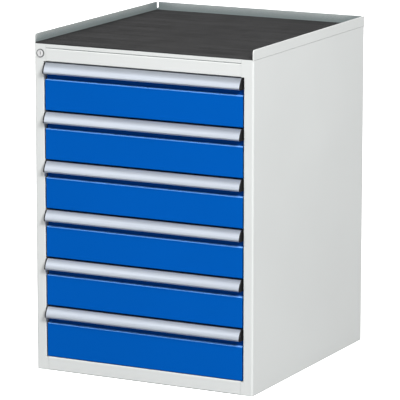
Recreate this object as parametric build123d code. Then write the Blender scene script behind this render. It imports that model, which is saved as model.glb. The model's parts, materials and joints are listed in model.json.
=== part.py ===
from build123d import *
import os
from math import asin, cos, pi, sin, sqrt

os.makedirs("parts", exist_ok=True)

# A steel drawer cabinet on z = 0: width along X, front towards -Y, the middle of its footprint at x = y = 0.
# All lengths are in millimetres.

# Carcass
cabinet_width = 580.0
cabinet_depth = 620.0
drawer_count = 6
module_height = 119.0
lowest_front_extra = 8.0
plinth_height = 33.0
header_height = 40.0
carcass_sheet = 1.5
corner_bend = 2.5
edge_bend = 0.8
post_width = 25.0
post_depth = 24.0
ear_width = 6.5
rear_flange = 20.0
rail_flange = 22.0
base_flange = 20.0
seam = 0.3

# Top tray and mat
rim_height = 23.5
rim_thickness = 3.0
rim_corner = 6.0
rim_relief = 2.0
rim_round = 1.0
rim_foot_round = 1.0
notch_width = 4.0
notch_depth = 16.0
apron_height = 10.0
apron_return = 12.0
mat_thickness = 3.0
mat_gap = 0.5
mat_setback = 1.0

# Drawer front
front_sheet = 1.25
front_bend = 0.8
brow_bend = 2.0
front_round = 1.0
front_side_gap = 3.0
front_top_gap = 2.5
front_bottom_gap = 1.0
face_setback = 1.5
recess_depth = 9.0
recess_drop = 40.5
front_return = 16.0

# Handle strip and its end caps
handle_end_gap = 3.0
cap_thickness = 3.0
handle_flange = 2.0
handle_flange_height = 5.0
hood_shelf = 10.5
hood_reach = 12.5
hood_drop = 22.5
hood_bulge = 2.0
hood_wall = 2.2
lip_radius = 4.0
groove_width = 0.8
groove_depth = 0.5

# Drawer box
pan_sheet = 1.25
pan_floor_gap = 5.0
pan_headroom = 25.0
pan_rear_room = 40.0
slide_space = 13.0
hem_height = 8.0
slot_count = 14
slot_width = 4.0
slot_height = 10.0
slot_margin = 3.0

# Three-part runners and the uprights that carry them
slide_height = 45.0
slide_sheet = 1.5
slide_play = 0.4
rail_side_gap = 1.8
rail_setback = 2.0
rail_rear_room = 41.0
upright_setback = 1.0
upright_width = 30.0
upright_front_gap = 8.0
upright_rear_inset = 12.0

# Lock
lock_inset = 17.0
lock_drop = 21.0
bezel_diameter = 20.0
bezel_height = 2.0
bezel_round = 0.8
barrel_diameter = 16.0
barrel_length = 21.0
barrel_play = 0.3
plug_diameter = 12.0
plug_play = 0.3
plug_recess = 0.5
key_slot_width = 1.8
key_slot_height = 8.0
key_slot_depth = 6.0
nut_across = 21.0
nut_height = 4.0
cam_thickness = 3.0
cam_hub_radius = 7.0
cam_end_radius = 4.5
cam_reach = 10.0
cam_pin_diameter = 4.0
cam_gap = 0.3
turn_degrees = 90.0
cam_screw_head_diameter = 6.0
cam_screw_head_height = 2.0
cam_screw_diameter = 3.0
cam_screw_length = 10.0
screw_play = 0.1

# Lock bar and its guides
bar_width = 12.0
bar_thickness = 3.0
bar_outset = 9.0
bar_gap = 0.5
bar_foot = 10.0
yoke_height = 12.0
yoke_wall = 2.0
yoke_play = 0.6
lug_height = 10.0
lug_drop = 25.0
guide_height = 14.0
guide_depth = 10.0
guide_lead = 4.8
guide_play = 0.3
guide_rise = 30.0

# Back panel screws
back_screw_count = 5
back_screw_diameter = 4.0
back_screw_length = 8.0
back_screw_head_diameter = 8.0
back_screw_head_height = 2.0
back_screw_play = 0.15
back_screw_margin = 60.0

overrun = 5.0

# Places that several pieces share
side_x = cabinet_width / 2
front_y = -cabinet_depth / 2
back_y = cabinet_depth / 2
inner_x = side_x - carcass_sheet
opening_x = side_x - post_width
ear_x = opening_x - ear_width
opening_top = plinth_height + drawer_count * module_height + lowest_front_extra
body_height = opening_top + header_height
tray_top = body_height + carcass_sheet
back_panel_y = back_y - 2 * carcass_sheet
base_front_y = front_y + post_depth
base_rear_y = back_y - carcass_sheet - corner_bend
rail_end_x = ear_x - seam
rail_front_y = front_y + post_depth + rail_setback
rail_rear_y = back_panel_y - rail_rear_room
upright_x = opening_x + upright_setback
pan_x = opening_x - slide_space


def left_offset(points, distance):
    """The path's corners, each run moved square to itself by distance to the left of its direction."""
    corners = [Vector(point) for point in points]
    runs = [(after - before).normalized() for before, after in zip(corners, corners[1:])]
    moves = [Vector(-run.Y, run.X) * distance for run in runs]
    moved = [corners[0] + moves[0]]
    for corner, before, after in zip(corners[1:], moves, moves[1:]):
        both = before + after
        moved.append(corner + both * (2 * distance**2 / both.dot(both)))
    moved.append(corners[-1] + moves[-1])
    return moved


def folded(points, sheet, bends):
    """Section of a sheet folded along points, thick to the left of the path, with these inner bend radii."""
    inside = left_offset(points, sheet)
    path_radii = []
    inside_radii = []
    for before, corner, after, bend in zip(points, points[1:], points[2:], bends):
        turn = (Vector(corner) - Vector(before)).cross(Vector(after) - Vector(corner)).Z
        path_radii.append(bend + sheet if turn > 0 else bend)
        inside_radii.append(bend if turn > 0 else bend + sheet)
    return make_face(
        [
            FilletPolyline(*points, radius=path_radii),
            Line(points[-1], inside[-1]),
            FilletPolyline(*inside, radius=inside_radii),
            Line(inside[0], points[0]),
        ]
    )


def block(x, y, z):
    """Box between the two values given for each axis."""
    centre = [(low + high) / 2 for low, high in (x, y, z)]
    return Pos(*centre) * Box(*[high - low for low, high in (x, y, z)])


def along_x(section, x0, x1):
    """A section drawn in y and z, run from x0 to x1."""
    return Pos(x0, 0, 0) * extrude(Plane.YZ * section, x1 - x0)


def along_y(section, y0, y1):
    """A section drawn in x and z, run from y0 to y1."""
    return Pos(0, y1, 0) * extrude(Plane.XZ * section, y1 - y0)


def along_z(section, z0, z1):
    """A section drawn in x and y, run from z0 to z1."""
    return Pos(0, 0, z0) * extrude(section, z1 - z0)


def rod(x, z, diameter, y0, y1):
    """Round bar along Y."""
    return along_y(Pos(x, z) * Circle(diameter / 2), y0, y1)


def other_side(shape):
    """The same piece on the cabinet's other side."""
    return mirror(shape, about=Plane.YZ)


def save(node, *pieces):
    """Write one node, each of its pieces a solid of its own."""
    solids = [solid for piece in pieces for solid in piece.solids()]
    export_step(solids[0] if len(solids) == 1 else Compound(solids), f"parts/{node}.step")


# Back panel screws: places of the right-hand row
back_screw_x = side_x - rear_flange / 2
back_screw_step = (body_height - 2 * back_screw_margin) / (back_screw_count - 1)
back_screw_heights = [back_screw_margin + step * back_screw_step for step in range(back_screw_count)]


def back_screw_holes():
    """Clearance holes for the right-hand row of back panel screws."""
    diameter = back_screw_diameter + 2 * back_screw_play
    start = back_panel_y - overrun
    return [rod(back_screw_x, z, diameter, start, back_y + overrun) for z in back_screw_heights]


def back_screw(z):
    """Pan-head screw through the rear flange and the back panel."""
    shank = rod(back_screw_x, z, back_screw_diameter, back_y - back_screw_length, back_y)
    head = rod(back_screw_x, z, back_screw_head_diameter, back_y, back_y + back_screw_head_height)
    dome = head.edges().filter_by(GeomType.CIRCLE).sort_by(Axis.Y)[-1]
    return shank + fillet(dome, back_screw_head_height / 2)


def side_panel():
    """Right side: a sheet folded into the front post and the rear flange, with ears beside the two rails."""
    rear_end = (side_x - rear_flange, back_y)
    along_opening = [
        (opening_x, front_y + post_depth),
        (opening_x, front_y),
        (side_x, front_y),
        (side_x, back_y),
        rear_end,
    ]
    beside_rails = [(ear_x, front_y), (side_x, front_y), (side_x, back_y), rear_end]
    post = folded(along_opening, carcass_sheet, [edge_bend, corner_bend, corner_bend])
    ear = folded(beside_rails, carcass_sheet, [corner_bend, corner_bend])
    panel = along_z(post, plinth_height, opening_top)
    panel += along_z(ear, 0, plinth_height)
    panel += along_z(ear, opening_top, body_height)
    return panel - back_screw_holes()


def front_rail(z0, z1):
    """Channel-shaped rail across the front between the posts' ears, open to the rear."""
    path = [
        (front_y + rail_flange, z1),
        (front_y, z1),
        (front_y, z0),
        (front_y + rail_flange, z0),
    ]
    return along_x(folded(path, carcass_sheet, [edge_bend, edge_bend]), -rail_end_x, rail_end_x)


def base_pan():
    """Floor sheet between the side panels, turned up at the front and the rear."""
    path = [
        (base_front_y, base_flange),
        (base_front_y, 0),
        (base_rear_y, 0),
        (base_rear_y, base_flange),
    ]
    return along_x(folded(path, carcass_sheet, [edge_bend, edge_bend]), -inner_x, inner_x)


def back_panel():
    """Flat sheet inside the rear flanges, clear of their bends."""
    reach = inner_x - corner_bend
    panel = block((-reach, reach), (back_panel_y, back_panel_y + carcass_sheet), (0, body_height))
    holes = back_screw_holes()
    return panel - holes - [other_side(hole) for hole in holes]


def top_tray():
    """Top sheet with a hemmed rim on three sides, notched at its rear corners, and an apron in front."""
    rim_top = tray_top + rim_height
    rear_x = side_x - rim_thickness
    plate = block((-rear_x, rear_x), (front_y, back_y - rim_thickness), (body_height, tray_top))
    apron_foot = tray_top - apron_height
    path = [
        (front_y + apron_return, tray_top),
        (front_y, tray_top),
        (front_y, apron_foot),
        (front_y + apron_return, apron_foot),
    ]
    apron = along_x(folded(path, carcass_sheet, [0, edge_bend]), -rail_end_x, rail_end_x)
    side_rim = block((rear_x, side_x), (front_y, back_y), (body_height, rim_top))
    outer_foot = side_rim.edges().filter_by(Axis.Y).group_by(Axis.Z)[0].sort_by(Axis.X)[-1]
    side_rim = fillet(outer_foot, rim_foot_round)
    across = side_rim.edges().filter_by(Axis.X).group_by(Axis.Z)[-1].sort_by(Axis.Y)
    side_rim = fillet(across[0], rim_corner)
    rear_edge = side_rim.edges().filter_by(Axis.X).group_by(Axis.Z)[-1].sort_by(Axis.Y)[-1]
    side_rim = fillet(rear_edge, rim_relief)
    lengthwise = side_rim.edges().filter_by(Axis.Y).group_by(Axis.Z)[-1]
    side_rim = fillet(lengthwise, rim_round)
    rear_y = (back_y - rim_thickness, back_y)
    notch_foot = rim_top - notch_depth
    rear_rim = block((-rear_x, rear_x), rear_y, (body_height, notch_foot))
    rear_foot = rear_rim.edges().filter_by(Axis.X).group_by(Axis.Z)[0].sort_by(Axis.Y)[-1]
    rear_rim = fillet(rear_foot, rim_foot_round)
    wall_x = rear_x - notch_width
    wall = block((-wall_x, wall_x), rear_y, (notch_foot, rim_top))
    wall = fillet(wall.edges().filter_by(Axis.Y).group_by(Axis.Z)[-1], rim_relief)
    wall = fillet(wall.edges().filter_by(Axis.X).group_by(Axis.Z)[-1], rim_round)
    return plate + apron + side_rim + other_side(side_rim) + rear_rim + wall


def top_mat():
    """Rubber mat filling the tray, open to the front edge."""
    reach = side_x - rim_thickness - mat_gap
    return block(
        (-reach, reach),
        (front_y + mat_setback, back_y - rim_thickness - mat_gap),
        (tray_top, tray_top + mat_thickness),
    )


def upright(y0):
    """Right-hand channel that stands on the base pan and holds the runners off the side panel."""
    path = [
        (inner_x, y0 + upright_width),
        (upright_x, y0 + upright_width),
        (upright_x, y0),
        (inner_x, y0),
    ]
    return along_z(folded(path, carcass_sheet, [edge_bend, edge_bend]), carcass_sheet, opening_top)


upright_places = [
    front_y + post_depth + upright_front_gap,
    rail_rear_y - upright_rear_inset - upright_width,
]
right_uprights = [upright(y0) for y0 in upright_places]
header_top = tray_top - apron_height - seam

# Lock axis and the depths of what turns on it
lock_x = lock_inset - side_x
lock_z = body_height - lock_drop
barrel_end_y = front_y + barrel_length
cam_y = barrel_end_y + cam_gap
cam_end_y = cam_y + cam_thickness
bar_y = cam_end_y + bar_gap
bar_end_y = bar_y + bar_thickness

# The cam pin swings evenly about level, so the bar's lift follows the turn almost in proportion
half_turn = turn_degrees / 2 * pi / 180
pin_rest_x = lock_x + cam_reach * cos(half_turn)
pin_rest_z = lock_z - cam_reach * sin(half_turn)
bar_x0 = bar_outset - side_x
bar_x1 = bar_x0 + bar_width
yoke_foot = pin_rest_z - yoke_height / 2


def lock_housing():
    """Threaded barrel with a round bezel, bored for the plug."""
    barrel = rod(lock_x, lock_z, barrel_diameter, front_y, barrel_end_y)
    bezel = rod(lock_x, lock_z, bezel_diameter, front_y - bezel_height, front_y)
    rim = bezel.edges().filter_by(GeomType.CIRCLE).sort_by(Axis.Y)[0]
    bore_diameter = plug_diameter + 2 * plug_play
    bore = rod(lock_x, lock_z, bore_diameter, front_y - bezel_height - overrun, barrel_end_y + overrun)
    return barrel + fillet(rim, bezel_round) - bore


def lock_plug():
    """Turning core with an upright key slot and a hole for the cam screw."""
    start = front_y - bezel_height + plug_recess
    core = rod(lock_x, lock_z, plug_diameter, start, cam_y)
    slot = block(
        (lock_x - key_slot_width / 2, lock_x + key_slot_width / 2),
        (start - overrun, start + key_slot_depth),
        (lock_z - key_slot_height / 2, lock_z + key_slot_height / 2),
    )
    hole_diameter = cam_screw_diameter + 2 * screw_play
    hole_end = cam_end_y - cam_screw_head_height - cam_screw_length - screw_play
    return core - slot - rod(lock_x, lock_z, hole_diameter, hole_end, cam_y + overrun)


def lock_nut():
    """Hexagon nut that clamps the barrel to the post from inside."""
    seat = front_y + carcass_sheet
    flats = RegularPolygon(nut_across / 2, 6, major_radius=False)
    nut = along_y(Pos(lock_x, lock_z) * flats, seat, seat + nut_height)
    hole_diameter = barrel_diameter + 2 * screw_play
    return nut - rod(lock_x, lock_z, hole_diameter, seat - overrun, seat + nut_height + overrun)


def lock_cam():
    """Arm on the plug's inner end, with the pin that lifts the bar."""
    hub = rod(lock_x, lock_z, 2 * cam_hub_radius, cam_y, cam_end_y)
    end = rod(pin_rest_x, pin_rest_z, 2 * cam_end_radius, cam_y, cam_end_y)
    arm_plan = Rot(0, 0, -turn_degrees / 2) * Pos(cam_reach / 2, 0) * Rectangle(cam_reach, 2 * cam_end_radius)
    arm = along_y(Pos(lock_x, lock_z) * arm_plan, cam_y, cam_end_y)
    pin = rod(pin_rest_x, pin_rest_z, cam_pin_diameter, cam_end_y, bar_end_y + bar_gap)
    sink_diameter = cam_screw_head_diameter + 2 * screw_play
    sink = rod(lock_x, lock_z, sink_diameter, cam_end_y - cam_screw_head_height, cam_end_y + overrun)
    hole = rod(lock_x, lock_z, cam_screw_diameter + 2 * screw_play, cam_y - overrun, cam_end_y)
    return hub + end + arm + pin - sink - hole


def cam_screw():
    """Flush screw that holds the cam on the plug."""
    seat = cam_end_y - cam_screw_head_height
    head = rod(lock_x, lock_z, cam_screw_head_diameter, seat, cam_end_y)
    return head + rod(lock_x, lock_z, cam_screw_diameter, seat - cam_screw_length, seat)


def lock_bar():
    """Flat bar down the left post, with a lug at each drawer."""
    depth = (bar_y, bar_end_y)
    bar = block((bar_x0, bar_x1), depth, (plinth_height + bar_foot, yoke_foot))
    for number in range(drawer_count):
        top = opening_top - number * module_height - lug_drop + lug_height
        bar += block((bar_x1, -opening_x), depth, (top - lug_height, top))
    return bar


def bar_yoke():
    """Slotted plate welded on the bar's head, which the cam pin lifts."""
    yoke_x = lock_x + cam_reach + cam_pin_diameter / 2 + yoke_play + yoke_wall
    reach = cam_pin_diameter / 2 + yoke_play
    plate = block((bar_x0, yoke_x), (bar_y, bar_end_y), (yoke_foot, yoke_foot + yoke_height))
    slot = block(
        (pin_rest_x - reach, yoke_x - yoke_wall),
        (bar_y - overrun, bar_end_y + overrun),
        (pin_rest_z - reach, pin_rest_z + reach),
    )
    return plate - slot


def bar_guide(z):
    """Plastic block in the left post with a slot that the bar slides in."""
    y0 = bar_y - guide_lead
    guide = block((-inner_x, -opening_x - carcass_sheet), (y0, y0 + guide_depth), (z, z + guide_height))
    slot = block(
        (bar_x0 - guide_play, bar_x1 + guide_play),
        (bar_y - guide_play, bar_end_y + guide_play),
        (z - overrun, z + guide_height + overrun),
    )
    return guide - slot


# Drawer section, measured from the bottom of the drawer's module
face_y = front_y + face_setback
strip_y = face_y + recess_depth
front_head = module_height - front_top_gap
front_x = opening_x - front_side_gap
pan_front_y = strip_y + front_sheet
pan_rear_y = back_panel_y - pan_rear_room
pan_top = module_height - pan_headroom
slide_z = (pan_floor_gap + pan_top) / 2


def drawer_front(foot):
    """Folded front, set back in a shelf behind the handle, closed by a rounded plate at each end."""
    rear_y = face_y + front_return
    shelf = front_head - recess_drop
    path = [
        (rear_y, front_head),
        (strip_y, front_head),
        (strip_y, shelf),
        (face_y, shelf),
        (face_y, foot),
        (rear_y, foot),
    ]
    bends = [front_bend, front_bend, brow_bend, front_bend]
    sheet = along_x(folded(path, front_sheet, bends), -front_x, front_x)
    outer_bend = front_bend + front_sheet
    end_radii = [outer_bend, front_bend, brow_bend + front_sheet, outer_bend]
    outline = make_face([FilletPolyline(*path, radius=end_radii), Line(path[-1], path[0])])
    end = along_x(outline, front_x - front_sheet, front_x)
    front = sheet + end + other_side(end)
    ends = front.edges().group_by(Axis.X)
    rims = [edge for group in (ends[0], ends[-1]) for edge in group.sort_by(Axis.Y)[:-1]]
    return fillet(rims, front_round)


def grip(out, down):
    """Point of the handle's section, out from the front's upper strip and down from its top, as y and z."""
    return (strip_y - out, front_head - down)


# The hood bulges evenly out from the straight line between its top edge and its nose
nose_out = hood_shelf + hood_reach
hood_chord = sqrt(hood_reach**2 + hood_drop**2)
hood_radius = hood_chord**2 / (8 * hood_bulge) + hood_bulge / 2
hood_lean = (hood_radius - hood_bulge) / hood_chord
hood_centre_out = hood_shelf + hood_reach / 2 - hood_drop * hood_lean
hood_centre_down = hood_drop / 2 + hood_reach * hood_lean
nose_turn = asin((hood_centre_down - hood_drop) / hood_radius)


def hood_arc(radius, top):
    """Arc about the hood's centre, from this depth below the handle's top down to the nose."""
    start = asin((hood_centre_down - top) / radius)
    points = [
        grip(hood_centre_out + radius * cos(turn), hood_centre_down - radius * sin(turn))
        for turn in (start, (start + nose_turn) / 2, nose_turn)
    ]
    return ThreePointArc(*points)


def lip_arc():
    """Quarter round that turns the hood's lower edge back under."""
    centre_out = nose_out - lip_radius
    points = [
        grip(centre_out + lip_radius * cos(turn), hood_drop + lip_radius * sin(turn))
        for turn in (0, pi / 4, pi / 2)
    ]
    return ThreePointArc(*points)


def handle():
    """Extruded grip strip: a flange on the front's upper strip and a hood bulging down to a nose and lip."""
    outer = hood_arc(hood_radius, 0)
    lip = lip_arc()
    inner = hood_arc(hood_radius - hood_wall, hood_wall)
    lip_end = grip(nose_out - lip_radius, hood_drop + lip_radius - hood_wall)
    flange_foot = grip(handle_flange, handle_flange_height)
    section = make_face(
        [
            Polyline(flange_foot, grip(0, handle_flange_height), grip(0, 0), outer @ 0),
            outer,
            lip,
            Polyline(lip @ 1, lip_end, inner @ 1),
            inner,
            Polyline(inner @ 0, grip(handle_flange, hood_wall), flange_foot),
        ]
    )
    reach = opening_x - handle_end_gap - cap_thickness
    strip = along_x(section, -reach, reach)
    nose_y = strip_y - nose_out
    nose_z = front_head - hood_drop
    groove = block(
        (-reach - overrun, reach + overrun),
        (nose_y - overrun, nose_y + groove_depth),
        (nose_z - groove_width / 2, nose_z + groove_width / 2),
    )
    return strip - groove


def handle_cap():
    """Right-hand plate that closes the end of the handle strip, down to the foot of its lip."""
    outer = hood_arc(hood_radius, 0)
    lip = lip_arc()
    outline = make_face(
        [
            Polyline(lip @ 1, grip(0, hood_drop + lip_radius), grip(0, 0), outer @ 0),
            outer,
            lip,
        ]
    )
    end = opening_x - handle_end_gap
    return along_x(outline, end - cap_thickness, end)


def drawer_box():
    """Open steel tray with outward hems on its sides and rear and a row of divider slots in each side."""
    y = (pan_front_y, pan_rear_y)
    tray = block((-pan_x, pan_x), y, (pan_floor_gap, pan_top))
    hem_z = (pan_top - hem_height, pan_top)
    tray += block((-pan_x - pan_sheet, pan_x + pan_sheet), (rail_front_y, pan_rear_y + pan_sheet), hem_z)
    tray -= block(
        (pan_sheet - pan_x, pan_x - pan_sheet),
        (pan_front_y + pan_sheet, pan_rear_y - pan_sheet),
        (pan_floor_gap + pan_sheet, pan_top + overrun),
    )
    pitch = (pan_rear_y - rail_front_y) / slot_count
    slot_top = pan_top - hem_height - slot_margin
    for number in range(slot_count):
        middle = rail_front_y + (number + 1 / 2) * pitch
        tray -= block(
            (-pan_x - overrun, pan_x + overrun),
            (middle - slot_width / 2, middle + slot_width / 2),
            (slot_top - slot_height, slot_top),
        )
    return tray


def runner(x_open, x_web, height):
    """Right-hand runner channel whose web stands at x_web and whose flanges reach to x_open."""
    low = slide_z - height / 2
    high = slide_z + height / 2
    path = [(x_open, low), (x_web, low), (x_web, high), (x_open, high)]
    if x_web < x_open:
        path.reverse()
    return along_y(folded(path, slide_sheet, [edge_bend, edge_bend]), rail_front_y, rail_rear_y)


# Each runner member nests in the next with the same play
nesting = slide_sheet + slide_play
rail_open_x = pan_x + rail_side_gap
cabinet_rail = runner(rail_open_x, upright_x, slide_height)
middle_rail = runner(rail_open_x, upright_x - nesting, slide_height - 2 * nesting)
drawer_rail = runner(upright_x - 2 * nesting, pan_x, slide_height - 4 * nesting)

drawer_pieces = {
    "drawer_box": [drawer_box()],
    "handle": [handle()],
    "handle_caps": [handle_cap(), other_side(handle_cap())],
    "drawer_rails": [drawer_rail, other_side(drawer_rail)],
    "middle_rails": [middle_rail, other_side(middle_rail)],
    "cabinet_rails": [cabinet_rail, other_side(cabinet_rail)],
}

lock_hole = rod(lock_x, lock_z, barrel_diameter + 2 * barrel_play, front_y - overrun, front_y + overrun)
save("left_side_panel", other_side(side_panel()) - lock_hole)
save("right_side_panel", side_panel())
save("back_panel", back_panel())
save("base_pan", base_pan())
save("header_rail", front_rail(opening_top, header_top))
save("plinth_rail", front_rail(0, plinth_height))
save("top_tray", top_tray())
save("top_mat", top_mat())
save("rack_uprights", *right_uprights, *[other_side(piece) for piece in right_uprights])
right_screws = [back_screw(z) for z in back_screw_heights]
save("back_panel_screws", *right_screws, *[other_side(screw) for screw in right_screws])

save("lock_housing", lock_housing())
save("lock_plug", lock_plug())
save("lock_nut", lock_nut())
save("lock_cam", lock_cam())
save("cam_screw", cam_screw())
save("lock_bar", lock_bar())
save("bar_yoke", bar_yoke())
guide_heights = [plinth_height + guide_rise, opening_top - module_height + guide_rise]
save("bar_guides", *[bar_guide(z) for z in guide_heights])

for number in range(1, drawer_count + 1):
    lift = Pos(0, 0, opening_top - number * module_height)
    front_foot = front_bottom_gap - (lowest_front_extra if number == drawer_count else 0)
    save(f"drawer_front_{number}", lift * drawer_front(front_foot))
    for name, pieces in drawer_pieces.items():
        save(f"{name}_{number}", *[lift * piece for piece in pieces])
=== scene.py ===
"""Looks of a floor-standing drawer cabinet: finishes, the ribbed mat, a white studio and the camera."""

import json
import math

import bmesh
import bpy
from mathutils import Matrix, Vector


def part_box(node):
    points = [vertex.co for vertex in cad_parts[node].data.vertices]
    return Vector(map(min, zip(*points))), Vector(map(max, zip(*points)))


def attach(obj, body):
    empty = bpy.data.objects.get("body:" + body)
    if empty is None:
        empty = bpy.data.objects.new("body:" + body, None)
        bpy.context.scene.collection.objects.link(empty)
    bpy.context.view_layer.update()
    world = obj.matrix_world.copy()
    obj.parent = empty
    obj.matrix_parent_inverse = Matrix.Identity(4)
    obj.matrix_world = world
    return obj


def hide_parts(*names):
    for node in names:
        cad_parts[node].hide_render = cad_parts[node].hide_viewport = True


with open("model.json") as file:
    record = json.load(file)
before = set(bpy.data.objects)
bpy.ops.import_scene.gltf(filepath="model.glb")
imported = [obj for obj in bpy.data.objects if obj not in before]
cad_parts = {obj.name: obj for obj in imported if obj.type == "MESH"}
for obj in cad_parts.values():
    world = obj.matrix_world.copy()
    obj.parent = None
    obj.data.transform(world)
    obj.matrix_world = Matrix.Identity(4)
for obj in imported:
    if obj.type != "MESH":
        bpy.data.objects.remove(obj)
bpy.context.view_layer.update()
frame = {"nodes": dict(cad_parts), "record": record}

MM = 0.001
WHITE = (1.0, 1.0, 1.0)

# Camera, fitted to the photograph's edges: angles in degrees, lens and sensor in millimetres
CAMERA_PLACE = (3.4048, -6.6704, 1.9195)
CAMERA_PITCH = 11.566
CAMERA_TURN = 27.086
CAMERA_LENS = 281.4
SENSOR_WIDTH = 36.0
RIGHT_ANGLE = 90.0

# Ribbed mat: its ribs, with shares of their pitch and, for the shoulder, of their height
RIB_PITCH = 3.0 * MM
RIB_HEIGHT = 0.7 * MM
RIB_LAND_SHARE = 0.4
RIB_FOOT_SHARE = 0.22
RIB_SHOULDER_SHARE = 0.75

# Noise: the range that holds nearly all of it, and the detail of a soft, a plain and a fine one
NOISE_LOW = 0.3
NOISE_HIGH = 0.7
SOFT = 1.0
PLAIN = 2.0
FINE = 3.0

# Sockets of a node that mixes two colours
MIX_FIRST = 6
MIX_SECOND = 7
MIX_RESULT = 2

# Paints: linear colour, gloss and roughness
GREY_PAINT = ((0.700, 0.718, 0.710), 0.3, 0.41)
BLUE_PAINT = ((0.0, 0.096, 0.450), 0.03, 0.31)
DRAWER_PAINT = ((0.66, 0.68, 0.67), 0.3, 0.41)

# Surface of a paint: here and below, two shares make two tones, and a bump is depth and strength
DRIFT_SIZE = 220 * MM
DRIFT_SHARES = (-0.015, 0.015)
PEEL_SIZE = 1.6 * MM
PEEL_BUMP = (0.05 * MM, 0.35)
PEEL_ROUGHNESS = 0.04
PAINT_GRAIN_SIZE = 0.35 * MM
PAINT_GRAIN_BUMP = (0.02 * MM, 0.2)

# Brow of a drawer front: its painted highlight, a paler blue, and where it lies
BROW_HIGHLIGHT_BLUE = (0.16, 0.42, 0.95)
BROW_BELOW_HEAD = 41.8 * MM
BROW_REACH = 2.6 * MM

# Aluminium of the handles: here and below, a stretch is how many times longer than wide the marks are
ALUMINIUM = (0.73, 0.79, 0.88)
ALUMINIUM_ROUGHNESS = (0.38, 0.50)
DIE_LINE_SIZE = 0.5 * MM
DIE_LINE_STRETCH = 400
DIE_LINE_BUMP = (0.012 * MM, 0.4)
BAND_SIZE = 3.0 * MM
BAND_STRETCH = 200
BAND_SHARES = (-0.03, 0.03)
ALUMINIUM_GRAIN_SIZE = 0.3 * MM
ALUMINIUM_GRAIN_BUMP = (0.008 * MM, 0.2)

# Zinc of the runners
ZINC_DULL = (0.540, 0.558, 0.576)
ZINC_BRIGHT = (0.68, 0.69, 0.68)
ZINC_ROUGHNESS = (0.28, 0.42)
ZINC_CLOUD_SIZE = 18 * MM
ROLLING_SIZE = 0.6 * MM
ROLLING_STRETCH = 300
ROLLING_BUMP = (0.02 * MM, 0.3)

# Nickel of the lock: bright on its face, darker in a ring round the edge, and painted shade in what lies
# deeper, such as the key slot
NICKEL = (0.90, 0.90, 0.91)
DARK_RING_AND_SLOT_SHADE = (0.10, 0.11, 0.11)
NICKEL_ROUGHNESS = (0.30, 0.42)
NICKEL_METAL_SHARE = 0.3
BEZEL_RING = 1.8 * MM
SLOT_SHADE_DEPTH = 0.8 * MM
NICKEL_CLOUD_SIZE = 6 * MM
NICKEL_CLOUD_SHARES = (-0.06, 0.04)
BRUSH_SIZE = 0.25 * MM
BRUSH_STRETCH = 40
BRUSH_BUMP = (0.01 * MM, 0.3)

# Black plastic
BLACK = (0.012, 0.012, 0.013)
PLASTIC_GLOSS = 0.15
PLASTIC_ROUGHNESS = (0.42, 0.58)
PLASTIC_CLOUD_SIZE = 30 * MM
PLASTIC_CLOUD_SHARES = (-0.1, 0.25)
PLASTIC_GRAIN_SIZE = 0.5 * MM
PLASTIC_GRAIN_BUMP = (0.04 * MM, 0.4)

# Rubber of the mat: clouds and streaks, each with its share in the mottle
RUBBER = (0.0325, 0.0325, 0.033)
RUBBER_GLOSS = 0.3
RUBBER_ROUGHNESS = (0.62, 0.78)
RUBBER_CLOUD_SIZE = 60 * MM
RUBBER_CLOUD_SHARE = 0.3
STREAK_SIZE = 16 * MM
STREAK_STRETCH = 30
STREAK_SHARE = 0.7
MOTTLE_SHARES = (-0.32, 0.32)
MOTTLE_RANGE = (0.36, 0.64)
RUBBER_GRAIN_SIZE = 0.6 * MM
RUBBER_GRAIN_BUMP = (0.05 * MM, 0.4)

# Painted shade in crowded corners, gaps and seams: reach, dark tint, and the shares of open space where the
# shade is full and where it is gone
PAINTED_GAP_SHADE = (6 * MM, (0.22, 0.24, 0.25), 0.15, 0.75)
PAINTED_SEAM_SHADE = (6 * MM, (0.80, 0.81, 0.81), 0.15, 0.75)
PAINTED_RIM_SHADE = (60 * MM, (0.26, 0.30, 0.305), 0.60, 0.97)
PAINTED_HANDLE_SHADE = (25 * MM, (0.30, 0.32, 0.40), 0.15, 0.85)
PAINTED_MAT_EDGE_SHADE = (30 * MM, (0.55, 0.55, 0.55), 0.30, 0.95)
ROOM_SAMPLES = 8

# Studio: floor and sky
FLOOR = (0.90, 0.90, 0.90)
FLOOR_BOUNCE = (0.20, 0.20, 0.20)
FLOOR_REACH = 40.0
FLOOR_GLOW = 0.60
FLOOR_ROUGHNESS = 0.9
SKY_LOW = 0.55
SKY_HIGH = 0.45
SKY_BACK_SHARE = 0.85

# Softboxes: place, aim, size and power
KEY = ((-1.3, -6.2, 6.3), (0.0, -0.3, 0.45), (7.2, 1.4), 270.0)
SIDE = ((5.1, -4.0, 4.9), (0.29, -0.1, 0.45), (2.2, 2.2), 585.0)
FILL = ((-4.2, 4.8, 1.9), (0.0, 0.1, 0.45), (3.0, 3.0), 240.0)
GLINT = ((-1.8, -3.5, 2.65), (0.0, -0.3, 0.45), (4.0, 1.8), 26.0)


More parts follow.
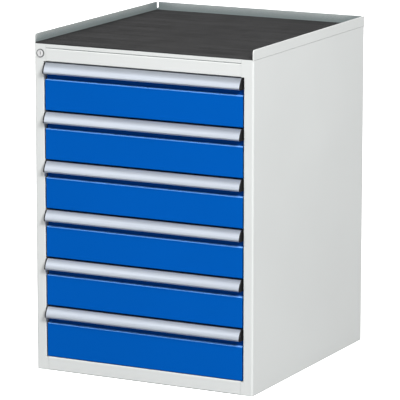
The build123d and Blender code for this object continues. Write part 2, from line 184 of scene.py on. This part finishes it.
class Tree:
    """A material's node tree, with short calls for the nodes that the finishes share."""

    def __init__(self, name):
        self.material = bpy.data.materials.new(name)
        self.material.use_nodes = True
        self.nodes = self.material.node_tree.nodes
        self.links = self.material.node_tree.links
        self.shader = self.nodes["Principled BSDF"]
        self.place = self.nodes.new("ShaderNodeTexCoord").outputs["Object"]

    def set(self, name, value):
        """Gives one of the shader's inputs the same value all over the surface."""
        self.shader.inputs[name].default_value = value

    def feed(self, name, socket):
        """Lets a socket drive one of the shader's inputs."""
        self.links.new(socket, self.shader.inputs[name])

    def fed(self, name):
        """The socket that drives one of the shader's inputs."""
        return self.shader.inputs[name].links[0].from_socket

    def noise(self, size, stretch=(1, 1, 1), detail=PLAIN):
        """Noise with features of about the given size in metres, longer along the stretched axes."""
        mapping = self.nodes.new("ShaderNodeMapping")
        mapping.inputs["Scale"].default_value = [1 / (size * times) for times in stretch]
        noise = self.nodes.new("ShaderNodeTexNoise")
        noise.inputs["Scale"].default_value = 1.0
        noise.inputs["Detail"].default_value = detail
        self.links.new(self.place, mapping.inputs["Vector"])
        self.links.new(mapping.outputs["Vector"], noise.inputs["Vector"])
        return noise.outputs["Fac"]

    def blend(self, factor, low, high, low_at=NOISE_LOW, high_at=NOISE_HIGH):
        """Colour that goes from low to high as the factor does."""
        ramp = self.nodes.new("ShaderNodeValToRGB")
        for stop, at, colour in zip(ramp.color_ramp.elements, (low_at, high_at), (low, high)):
            stop.position = at
            stop.color = (*colour, 1.0)
        self.links.new(factor, ramp.inputs["Fac"])
        return ramp.outputs["Color"]

    def spread(self, factor, low, high):
        """Number that goes from low to high as the factor does."""
        spread = self.nodes.new("ShaderNodeMapRange")
        spread.inputs["From Min"].default_value = NOISE_LOW
        spread.inputs["From Max"].default_value = NOISE_HIGH
        spread.inputs["To Min"].default_value = low
        spread.inputs["To Max"].default_value = high
        self.links.new(factor, spread.inputs["Value"])
        return spread.outputs["Result"]

    def bump(self, height, depth, strength, under=None):
        """Normal raised by the height, whose full range is the depth in metres."""
        bump = self.nodes.new("ShaderNodeBump")
        bump.inputs["Strength"].default_value = strength
        bump.inputs["Distance"].default_value = depth
        self.links.new(height, bump.inputs["Height"])
        if under:
            self.links.new(under, bump.inputs["Normal"])
        return bump.outputs["Normal"]

    def maths(self, operation, *terms):
        """Number worked out from sockets and fixed numbers."""
        node = self.nodes.new("ShaderNodeMath")
        node.operation = operation
        for term, socket in zip(terms, node.inputs):
            if isinstance(term, (int, float)):
                socket.default_value = term
            else:
                self.links.new(term, socket)
        return node.outputs["Value"]

    def axis(self, vector, name):
        """One coordinate of a vector."""
        split = self.nodes.new("ShaderNodeSeparateXYZ")
        self.links.new(vector, split.inputs["Vector"])
        return split.outputs[name]

    def distance_from_axis(self, middle):
        """Distance in metres from the line along Y through a point."""
        flat = self.nodes.new("ShaderNodeVectorMath")
        flat.operation = "MULTIPLY"
        flat.inputs[1].default_value = (1, 0, 1)
        self.links.new(self.place, flat.inputs[0])
        distance = self.nodes.new("ShaderNodeVectorMath")
        distance.operation = "DISTANCE"
        distance.inputs[1].default_value = (middle.x, 0, middle.z)
        self.links.new(flat.outputs["Vector"], distance.inputs[0])
        return distance.outputs["Value"]

    def mix(self, colour):
        """Node that mixes two colours, with this one as its first."""
        mix = self.nodes.new("ShaderNodeMix")
        mix.data_type = "RGBA"
        self.links.new(colour, mix.inputs[MIX_FIRST])
        return mix

    def mixed(self, factor, colour, other):
        """The colour, giving way to another fixed one as the factor rises to 1."""
        mix = self.mix(colour)
        mix.inputs[MIX_SECOND].default_value = (*other, 1.0)
        self.links.new(factor, mix.inputs["Factor"])
        return mix.outputs[MIX_RESULT]

    def shaded(self, colour, reach, dark, low_at, high_at):
        """The colour with painted shade: times the dark one where other surfaces crowd within the reach in
        metres.
        """
        room = self.nodes.new("ShaderNodeAmbientOcclusion")
        room.inputs["Distance"].default_value = reach
        room.samples = ROOM_SAMPLES
        shade = self.blend(room.outputs["AO"], dark, WHITE, low_at, high_at)
        mix = self.mix(colour)
        mix.blend_type = "MULTIPLY"
        mix.inputs["Factor"].default_value = 1.0
        self.links.new(shade, mix.inputs[MIX_SECOND])
        return mix.outputs[MIX_RESULT]


def tones(colour, shares):
    """The colour made darker and lighter by two shares of itself."""
    return [tuple(channel * (1 + share) for channel in colour) for share in shares]


def powder_coat(name, paint, corners):
    """Baked powder paint: orange peel about a millimetre across, a faint drift of tone and painted shade in
    corners.
    """
    colour, gloss, roughness = paint
    tree = Tree(name)
    drift = tree.noise(DRIFT_SIZE, detail=SOFT)
    peel = tree.noise(PEEL_SIZE)
    grain = tree.noise(PAINT_GRAIN_SIZE)
    tone = tree.blend(drift, *tones(colour, DRIFT_SHARES))
    # painted shade: the paint is darkened where other surfaces crowd it, in gaps, seams and corners
    tree.feed("Base Color", tree.shaded(tone, *corners))
    tree.feed("Roughness", tree.spread(peel, roughness - PEEL_ROUGHNESS, roughness + PEEL_ROUGHNESS))
    waves = tree.bump(peel, *PEEL_BUMP)
    tree.feed("Normal", tree.bump(grain, *PAINT_GRAIN_BUMP, waves))
    tree.set("Specular IOR Level", gloss)
    return tree


def front_paint(name):
    """Blue powder paint, with painted shade under its handle, and a painted highlight, a paler blue, on the
    upward faces of the brow where a front folds back under its handle.
    """
    # painted shade: the blue is darkened under the handle, where the front folds back
    tree = powder_coat(name, BLUE_PAINT, PAINTED_HANDLE_SHADE)
    heads = [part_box(f"drawer_front_{number}")[1].z for number in (1, 2)]
    module = heads[0] - heads[1]
    drop = tree.maths("MULTIPLY_ADD", tree.axis(tree.place, "Z"), -1 / module, heads[0] / module)
    below_head = tree.maths("FRACT", drop)
    near = tree.maths("COMPARE", below_head, BROW_BELOW_HEAD / module, BROW_REACH / module)
    normal = tree.nodes.new("ShaderNodeNewGeometry").outputs["Normal"]
    upward = tree.spread(tree.axis(normal, "Z"), 0.0, 1.0)
    # painted highlight: a paler blue on the upward-facing faces of the brow below each handle
    brow = tree.maths("MULTIPLY", near, upward)
    tree.feed("Base Color", tree.mixed(brow, tree.fed("Base Color"), BROW_HIGHLIGHT_BLUE))
    return tree


def extruded_aluminium(name):
    """Satin anodised extrusion: fine die lines along its length, and a silky grain."""
    tree = Tree(name)
    lines = tree.noise(DIE_LINE_SIZE, (DIE_LINE_STRETCH, 1, 1), FINE)
    bands = tree.noise(BAND_SIZE, (BAND_STRETCH, 1, 1), SOFT)
    grain = tree.noise(ALUMINIUM_GRAIN_SIZE)
    tree.feed("Base Color", tree.blend(bands, *tones(ALUMINIUM, BAND_SHARES)))
    tree.feed("Roughness", tree.spread(lines, *ALUMINIUM_ROUGHNESS))
    scratched = tree.bump(lines, *DIE_LINE_BUMP)
    tree.feed("Normal", tree.bump(grain, *ALUMINIUM_GRAIN_BUMP, scratched))
    tree.set("Metallic", 1.0)
    return tree


def zinc_plate(name):
    """Bright zinc on rolled steel: cloudy patches and rolling lines along the rails."""
    tree = Tree(name)
    clouds = tree.noise(ZINC_CLOUD_SIZE)
    rolling = tree.noise(ROLLING_SIZE, (1, ROLLING_STRETCH, 1), FINE)
    tree.feed("Base Color", tree.blend(clouds, ZINC_DULL, ZINC_BRIGHT))
    tree.feed("Roughness", tree.spread(clouds, *ZINC_ROUGHNESS))
    tree.feed("Normal", tree.bump(rolling, *ROLLING_BUMP))
    tree.set("Metallic", 1.0)
    return tree


def nickel_plate(name):
    """Satin nickel on the lock's face, darker in a ring round the bezel's edge, with painted shade in the
    key slot.
    """
    tree = Tree(name)
    low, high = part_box("lock_housing")
    ring_radius = (high.x - low.x) / 2 - BEZEL_RING
    brush = tree.noise(BRUSH_SIZE, (1, 1, BRUSH_STRETCH), FINE)
    clouds = tree.noise(NICKEL_CLOUD_SIZE)
    bright = tree.blend(clouds, *tones(NICKEL, NICKEL_CLOUD_SHARES))
    ring = tree.maths("GREATER_THAN", tree.distance_from_axis((low + high) / 2), ring_radius)
    slot_shade = tree.maths("GREATER_THAN", tree.axis(tree.place, "Y"), low.y + SLOT_SHADE_DEPTH)
    # darker ring round the bezel's edge, and painted shade on all that lies deeper than the face
    tree.feed("Base Color", tree.mixed(tree.maths("MAXIMUM", ring, slot_shade), bright, DARK_RING_AND_SLOT_SHADE))
    tree.feed("Roughness", tree.spread(brush, *NICKEL_ROUGHNESS))
    tree.feed("Normal", tree.bump(brush, *BRUSH_BUMP))
    tree.set("Metallic", NICKEL_METAL_SHARE)
    return tree


def moulded_plastic(name):
    """Black moulded plastic with a fine spark-eroded grain."""
    tree = Tree(name)
    grain = tree.noise(PLASTIC_GRAIN_SIZE)
    clouds = tree.noise(PLASTIC_CLOUD_SIZE)
    tree.feed("Base Color", tree.blend(clouds, *tones(BLACK, PLASTIC_CLOUD_SHARES)))
    tree.feed("Roughness", tree.spread(grain, *PLASTIC_ROUGHNESS))
    tree.feed("Normal", tree.bump(grain, *PLASTIC_GRAIN_BUMP))
    tree.set("Specular IOR Level", PLASTIC_GLOSS)
    return tree


def mat_rubber(name):
    """Dark grey rubber: dull, clouded, streaked along the ribs, with a fine grain, and painted shade near
    the rims and edges.
    """
    tree = Tree(name)
    clouds = tree.noise(RUBBER_CLOUD_SIZE)
    streaks = tree.noise(STREAK_SIZE, (STREAK_STRETCH, 1, 1), FINE)
    grain = tree.noise(RUBBER_GRAIN_SIZE)
    streaked = tree.maths("MULTIPLY", streaks, STREAK_SHARE)
    mottle = tree.maths("MULTIPLY_ADD", clouds, RUBBER_CLOUD_SHARE, streaked)
    tone = tree.blend(mottle, *tones(RUBBER, MOTTLE_SHARES), *MOTTLE_RANGE)
    # painted shade: the rubber is darkened near the rims and edges
    tree.feed("Base Color", tree.shaded(tone, *PAINTED_MAT_EDGE_SHADE))
    tree.feed("Roughness", tree.spread(grain, *RUBBER_ROUGHNESS))
    tree.feed("Normal", tree.bump(grain, *RUBBER_GRAIN_BUMP))
    tree.set("Specular IOR Level", RUBBER_GLOSS)
    return tree


def studio_floor(name):
    """Matt floor: white to the eye, and a quiet grey in the light that it throws back."""
    tree = Tree(name)
    seen = tree.nodes.new("ShaderNodeLightPath").outputs["Is Camera Ray"]
    tree.feed("Base Color", tree.blend(seen, FLOOR_BOUNCE, FLOOR, 0.0, 1.0))
    tree.feed("Emission Strength", tree.maths("MULTIPLY", seen, FLOOR_GLOW))
    tree.set("Emission Color", (*WHITE, 1.0))
    tree.set("Roughness", FLOOR_ROUGHNESS)
    tree.set("Specular IOR Level", 0.0)
    return tree


# By slot in the record, and for the two nodes that have a finish of their own: the same grey paint, with
# deep painted shade inside the tray's rim and a light painted shade at the header's seam
finishes = {
    "grey_paint": powder_coat("grey_paint", GREY_PAINT, PAINTED_GAP_SHADE).material,
    "blue_paint": front_paint("blue_paint").material,
    "drawer_paint": powder_coat("drawer_paint", DRAWER_PAINT, PAINTED_GAP_SHADE).material,
    "anodised_aluminium": extruded_aluminium("anodised_aluminium").material,
    "zinc_steel": zinc_plate("zinc_steel").material,
    "lock_chrome": nickel_plate("lock_chrome").material,
    "black_plastic": moulded_plastic("black_plastic").material,
    "ribbed_rubber": mat_rubber("ribbed_rubber").material,
}
own_finishes = {
    "top_tray": powder_coat("tray_paint_rim_shade", GREY_PAINT, PAINTED_RIM_SHADE).material,
    "header_rail": powder_coat("header_paint_seam_shade", GREY_PAINT, PAINTED_SEAM_SHADE).material,
}


def dress_nodes():
    """Each CAD node wears its own finish, or that of its slot in the record."""
    for part in frame["record"]["subparts"]:
        finish = own_finishes.get(part["node"], finishes[part["material_slot"]])
        for slot in frame["nodes"][part["node"]].material_slots:
            slot.material = finish


def rib_profile(front, back, low, high):
    """Points of the mat's section from its front edge to its back: a row of ribs with eased shoulders."""
    foot = high - RIB_HEIGHT
    count = int((back - front) / RIB_PITCH)
    pitch = (back - front) / count
    land = pitch * RIB_LAND_SHARE / 2
    shoulder = pitch * (RIB_LAND_SHARE / 2 + RIB_FOOT_SHARE / 2)
    toe = pitch * (RIB_LAND_SHARE / 2 + RIB_FOOT_SHARE)
    shoulder_height = foot + RIB_HEIGHT * RIB_SHOULDER_SHARE
    points = [(front, low), (front, foot)]
    for rib in range(count):
        middle = front + pitch * (rib + 0.5)
        points.append((middle - toe, foot))
        points.append((middle - shoulder, shoulder_height))
        points.append((middle - land, high))
        points.append((middle + land, high))
        points.append((middle + shoulder, shoulder_height))
        points.append((middle + toe, foot))
    return points + [(back, foot), (back, low)]


def ribbed_mat():
    """Rubber mat with real ribs that run along the front edge."""
    low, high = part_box("top_mat")
    section = rib_profile(low.y, high.y, low.z, high.z)
    mesh = bmesh.new()
    left, right = [[mesh.verts.new((x, y, z)) for y, z in section] for x in (low.x, high.x)]
    for corner in range(len(section)):
        following = (corner + 1) % len(section)
        mesh.faces.new((left[corner], left[following], right[following], right[corner]))
    mesh.faces.new(left[::-1])
    mesh.faces.new(right)
    bmesh.ops.recalc_face_normals(mesh, faces=mesh.faces)
    data = bpy.data.meshes.new("ribbed_mat")
    mesh.to_mesh(data)
    mesh.free()
    mat = bpy.data.objects.new("ribbed_mat", data)
    bpy.context.scene.collection.objects.link(mat)
    data.materials.append(finishes["ribbed_rubber"])
    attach(mat, "carcass")
    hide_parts("top_mat")


def floor():
    """Plain pale floor under the cabinet."""
    half = FLOOR_REACH / 2
    corners = [(-half, -half, 0), (half, -half, 0), (half, half, 0), (-half, half, 0)]
    data = bpy.data.meshes.new("studio_floor")
    data.from_pydata(corners, [], [(0, 1, 2, 3)])
    data.materials.append(studio_floor("studio_floor").material)
    ground = bpy.data.objects.new("studio_floor", data)
    bpy.context.scene.collection.objects.link(ground)


def softbox(name, place, aim, size, power, mirrored=False):
    """Unseen oblong light, aimed at a place, that lights what is matt or only shows in what is shiny."""
    data = bpy.data.lights.new(name, "AREA")
    data.shape = "RECTANGLE"
    data.size, data.size_y = size
    data.energy = power
    light = bpy.data.objects.new(name, data)
    light.location = place
    light.rotation_euler = (Vector(aim) - Vector(place)).to_track_quat("-Z", "Y").to_euler()
    light.visible_camera = False
    light.visible_diffuse = not mirrored
    light.visible_glossy = mirrored
    bpy.context.scene.collection.objects.link(light)


def sky():
    """White surroundings, brightest near the horizon and on the side that the drawers face."""
    world = bpy.data.worlds.new("studio")
    bpy.context.scene.world = world
    world.use_nodes = True
    nodes, links = world.node_tree.nodes, world.node_tree.links
    axes = nodes.new("ShaderNodeSeparateXYZ")
    links.new(nodes.new("ShaderNodeTexCoord").outputs["Generated"], axes.inputs["Vector"])
    height = nodes.new("ShaderNodeMapRange")
    height.inputs["To Min"].default_value = SKY_LOW
    height.inputs["To Max"].default_value = SKY_HIGH
    links.new(axes.outputs["Z"], height.inputs["Value"])
    facing = nodes.new("ShaderNodeMapRange")
    facing.inputs["From Min"].default_value = -1.0
    facing.inputs["To Min"].default_value = 1.0
    facing.inputs["To Max"].default_value = SKY_BACK_SHARE
    links.new(axes.outputs["Y"], facing.inputs["Value"])
    strength = nodes.new("ShaderNodeMath")
    strength.operation = "MULTIPLY"
    links.new(height.outputs["Result"], strength.inputs[0])
    links.new(facing.outputs["Result"], strength.inputs[1])
    links.new(strength.outputs["Value"], nodes["Background"].inputs["Strength"])
    nodes["Background"].inputs["Color"].default_value = (*WHITE, 1.0)


def camera():
    """The photograph's viewpoint."""
    data = bpy.data.cameras.new("camera")
    data.lens = CAMERA_LENS
    data.sensor_width = SENSOR_WIDTH
    eye = bpy.data.objects.new("camera", data)
    eye.location = CAMERA_PLACE
    eye.rotation_euler = (math.radians(RIGHT_ANGLE - CAMERA_PITCH), 0, math.radians(CAMERA_TURN))
    bpy.context.scene.collection.objects.link(eye)
    bpy.context.scene.camera = eye


dress_nodes()
ribbed_mat()
floor()
sky()
softbox("key", *KEY)
softbox("side", *SIDE)
softbox("fill", *FILL)
softbox("glint", *GLINT, mirrored=True)
camera()
bpy.context.scene.view_settings.view_transform = "Standard"
